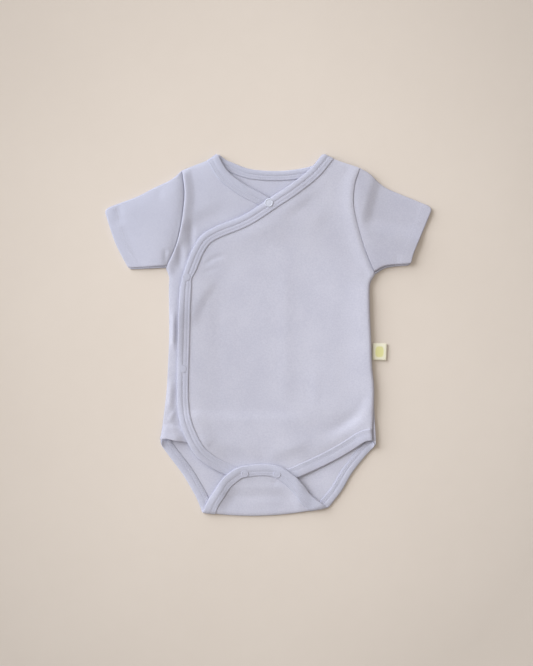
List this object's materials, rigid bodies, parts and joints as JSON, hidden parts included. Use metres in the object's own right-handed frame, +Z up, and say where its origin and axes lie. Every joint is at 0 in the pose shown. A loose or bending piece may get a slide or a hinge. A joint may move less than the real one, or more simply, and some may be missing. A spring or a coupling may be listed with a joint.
{
  "type": "short-sleeve wrap bodysuit for a baby",
  "caption": "Short-sleeve wrap bodysuit for a baby, laid out flat, with bound edges, side snaps and a crotch flap that folds forward and snaps over the front.",
  "frame": {"origin": "on the surface that it lies on, below the middle of its box", "axes": "+X towards the wearer's left sleeve, +Y from the crotch to the neck, +Z up from the surface, out of the front"},
  "size_m": [0.3454, 0.3803, 0.0126],
  "materials": {
    "knit": "fine cotton knit",
    "binding": "fine rib knit",
    "snap_cap": "satin",
    "ribbon": "satin woven"
  },
  "bodies": {
    "root": {"back_panel": "knit", "front_underlap": "knit", "front_wrap": "knit", "sleeve_right": "knit", "sleeve_left": "knit", "neck_binding_back": "binding", "neck_binding_underlap": "binding", "wrap_binding": "binding", "wrap_leg_binding": "binding", "leg_binding": "binding", "snap_neck": "snap_cap", "snap_side_upper": "snap_cap", "snap_side_lower": "snap_cap", "snap_crotch_right": "snap_cap", "snap_crotch_left": "snap_cap", "side_label": "ribbon"}
  },
  "joints": []
}
